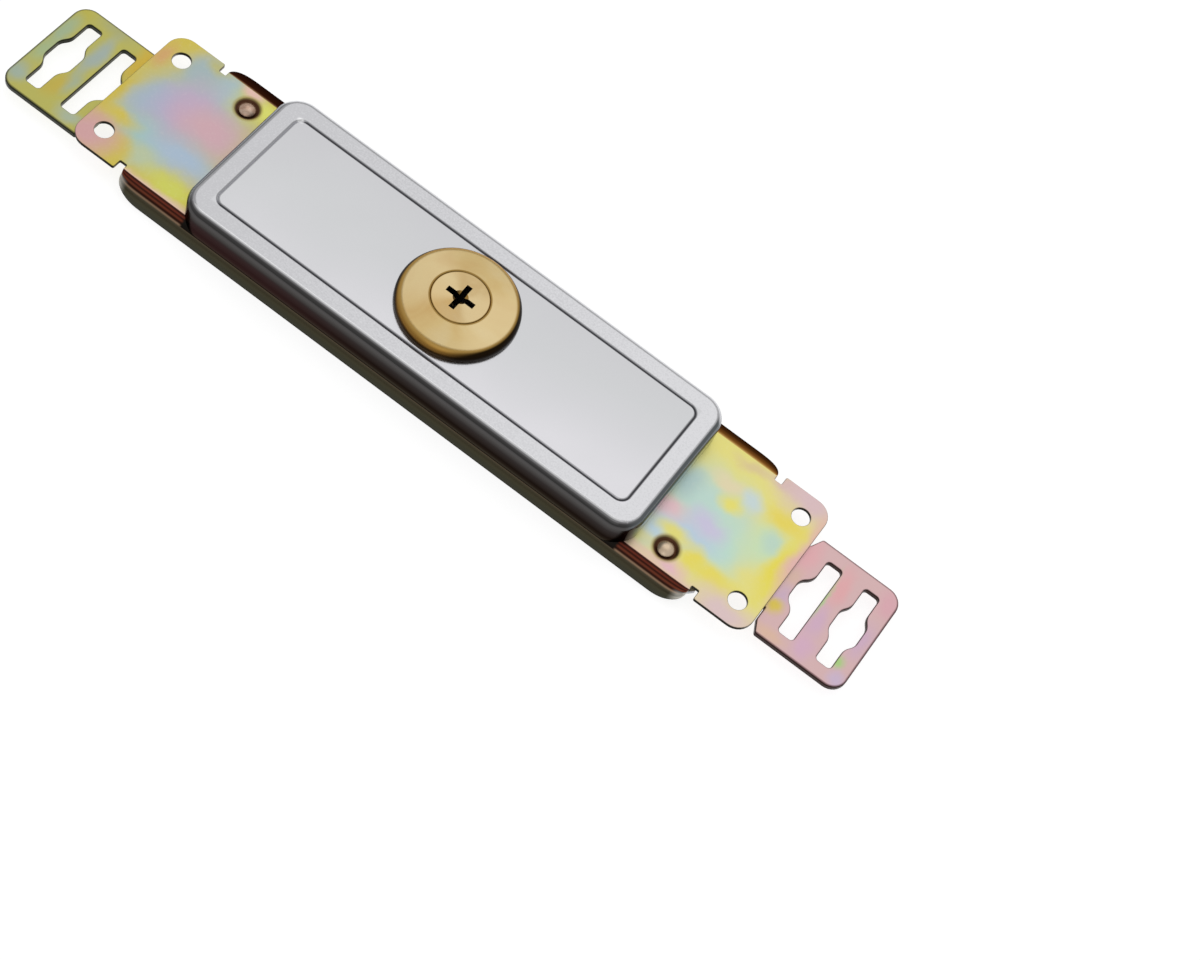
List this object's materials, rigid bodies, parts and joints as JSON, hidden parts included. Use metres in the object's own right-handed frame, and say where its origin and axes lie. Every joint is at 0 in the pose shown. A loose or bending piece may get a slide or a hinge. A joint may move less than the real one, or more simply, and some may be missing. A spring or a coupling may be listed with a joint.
{
  "type": "roller shutter lock",
  "caption": "Roller shutter lock: drawn zinc-plated plate with screw ears, chrome cover, brass cross-key cylinder and slotted tongues driven apart by a pinion.",
  "frame": {"origin": "on the cylinder axis in the front face of the plate, midway between the four ear holes", "axes": "+X along the lock towards the right tongue, +Y across it, +Z out of the cylinder's face along its axis"},
  "size_m": [0.2595, 0.0494, 0.0177],
  "materials": {
    "zinc_plate": "iridescent yellow zinc plating",
    "zinc_back": "iridescent yellow zinc plating",
    "cover_chrome": "bright chrome plating",
    "cylinder_brass": "turned, fine satin",
    "plug_brass": "turned, fine satin",
    "pin_brass": "turned",
    "spring_steel": "oiled spring steel",
    "plain_steel": "zinc plated",
    "zinc_left_tongue": "olive yellow zinc plating",
    "zinc_right_tongue": "rose yellow zinc plating",
    "rivet_steel": "copper toned plating"
  },
  "bodies": {
    "lock_case": {"front_plate": "zinc_plate", "back_plate": "zinc_back", "cover": "cover_chrome", "cylinder_body": "cylinder_brass", "cylinder_sleeve": "cylinder_brass", "cylinder_nut": "cylinder_brass", "left_rivet": "rivet_steel", "right_rivet": "rivet_steel", "left_spacer": "plain_steel", "right_spacer": "plain_steel", "driver_pin_1": "pin_brass", "driver_pin_2": "pin_brass", "driver_pin_3": "pin_brass", "driver_pin_4": "pin_brass", "pin_spring_1": "spring_steel", "pin_spring_2": "spring_steel", "pin_spring_3": "spring_steel", "pin_spring_4": "spring_steel"},
    "rotor": {"cylinder_plug": "plug_brass", "plug_clip": "spring_steel", "drive_pinion": "plain_steel", "key_pin_1": "pin_brass", "key_pin_2": "pin_brass", "key_pin_3": "pin_brass", "key_pin_4": "pin_brass"},
    "left_bolt": {"left_tongue": "zinc_left_tongue"},
    "right_bolt": {"right_tongue": "zinc_right_tongue"}
  },
  "joints": [
    {"name": "plug_turn", "type": "hinge", "parent": "lock_case", "child": "rotor", "pos_m": [0, 0, 0], "axis": [0, 0, -1], "range_deg": [0, 90]},
    {"name": "left_slide", "type": "slide", "parent": "lock_case", "child": "left_bolt", "axis": [-1, 0, 0], "range_m": [0, 0.01257]},
    {"name": "right_slide", "type": "slide", "parent": "lock_case", "child": "right_bolt", "axis": [1, 0, 0], "range_m": [0, 0.0126]}
  ],
  "couplings": [
    {"joint": "plug_turn", "follows": "left_slide", "rad_per_m": 125},
    {"joint": "right_slide", "follows": "left_slide", "ratio": 1}
  ]
}
